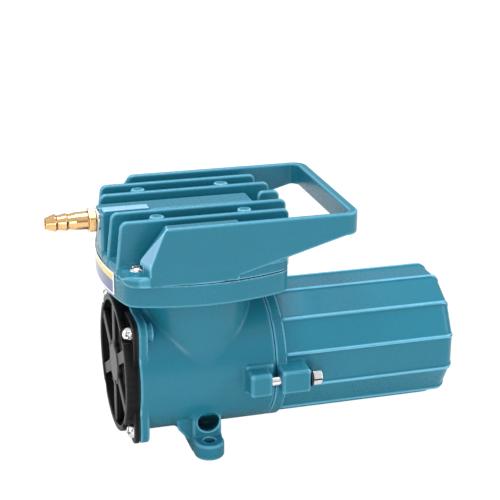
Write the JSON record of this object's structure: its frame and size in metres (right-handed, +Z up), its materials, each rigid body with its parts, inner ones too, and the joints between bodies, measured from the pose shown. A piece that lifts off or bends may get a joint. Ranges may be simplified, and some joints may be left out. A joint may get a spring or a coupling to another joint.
{
  "type": "air pump",
  "caption": "Electric piston air pump: finned head with a carrying handle, round crankcase on feet, vented front cover, ribbed motor cap and a brass hose barb.",
  "frame": {"origin": "on the floor plane, under the middle of the outer box", "axes": "+X along the motor shaft from the vented front cover to the motor cap, +Z up along the cylinder"},
  "size_m": [0.2242, 0.0994, 0.1365],
  "materials": {
    "paint": "teal gloss paint on cast aluminium",
    "cover_plastic": "satin black moulded plastic",
    "disc_plastic": "satin grey plastic",
    "chrome": "bright plated steel",
    "steel": "ground steel",
    "dark_steel": "blackened spring steel",
    "aluminium": "turned aluminium",
    "brass": "bright turned brass",
    "copper": null,
    "rubber": "black nitrile rubber",
    "seal_plastic": "white fluoropolymer",
    "graphite": "pressed carbon",
    "ferrite": "sintered ferrite",
    "foam": "open filter foam",
    "label_film": "printed film, bare of words"
  },
  "bodies": {
    "housing": {"crankcase": "paint", "cylinder_head": "paint", "motor_cap": "paint", "head_bolt_1": "paint", "head_bolt_2": "paint", "head_bolt_3": "paint", "head_bolt_4": "paint", "front_cover": "cover_plastic", "brush_plate": "cover_plastic", "cover_disc": "disc_plastic", "cover_screw_1": "chrome", "cover_screw_2": "chrome", "cover_screw_3": "chrome", "cover_screw_4": "chrome", "corner_screw_1": "chrome", "corner_screw_2": "chrome", "corner_screw_3": "chrome", "corner_screw_4": "chrome", "motor_bolt_near": "chrome", "motor_bolt_far": "chrome", "exhaust_reed_stop": "steel", "reed_screw": "steel", "motor_yoke": "steel", "front_bearing_outer": "steel", "rear_bearing_outer": "steel", "brush_spring_near": "steel", "brush_spring_far": "steel", "bolt_washer_near": "dark_steel", "bolt_washer_far": "dark_steel", "valve_plate": "aluminium", "cylinder_liner": "aluminium", "outlet_barb": "brass", "brush_holder_near": "brass", "brush_holder_far": "brass", "head_gasket": "rubber", "cable_grommet": "rubber", "outlet_washer": "seal_plastic", "brush_near": "graphite", "brush_far": "graphite", "magnet_near": "ferrite", "magnet_far": "ferrite", "intake_filter": "foam", "name_label": "label_film"},
    "crank": {"crank_eccentric": "steel", "motor_shaft": "steel", "armature_core": "steel", "armature_winding_front": "copper", "armature_winding_rear": "copper", "commutator": "copper", "front_bearing_inner": "steel", "rear_bearing_inner": "steel", "big_end_inner_race": "steel"},
    "cage": {"big_end_cage": "brass"},
    "piston": {"connecting_rod": "aluminium", "piston_cup": "seal_plastic", "cup_retainer": "aluminium", "piston_screw": "steel", "big_end_outer_race": "steel"},
    "intake_reed": {"intake_reed": "steel"},
    "exhaust_reed": {"exhaust_reed": "steel"}
  },
  "joints": [
    {"name": "crank_spin", "type": "hinge", "parent": "housing", "child": "crank", "pos_m": [-0.03402, 0, 0.0445], "axis": [1, 0, 0], "continuous": true},
    {"name": "cage_spin", "type": "hinge", "parent": "crank", "child": "cage", "pos_m": [-0.03402, 0, 0.043], "axis": [1, 0, 0], "continuous": true},
    {"name": "rod_spin", "type": "hinge", "parent": "cage", "child": "piston", "pos_m": [-0.03402, 0, 0.0415], "axis": [1, 0, 0], "continuous": true},
    {"name": "intake_reed_lift", "type": "hinge", "parent": "piston", "child": "intake_reed", "pos_m": [-0.03402, 0, 0.0968], "axis": [0, 1, 0], "range_deg": [0, 3], "stiffness_Nm_per_rad": 0.02},
    {"name": "exhaust_reed_lift", "type": "hinge", "parent": "housing", "child": "exhaust_reed", "pos_m": [-0.02303, 0, 0.1089], "axis": [0, 1, 0], "range_deg": [0, 3], "stiffness_Nm_per_rad": 0.02}
  ],
  "couplings": [
    {"joint": "cage_spin", "follows": "crank_spin", "ratio": -2},
    {"joint": "rod_spin", "follows": "crank_spin", "ratio": 1}
  ]
}
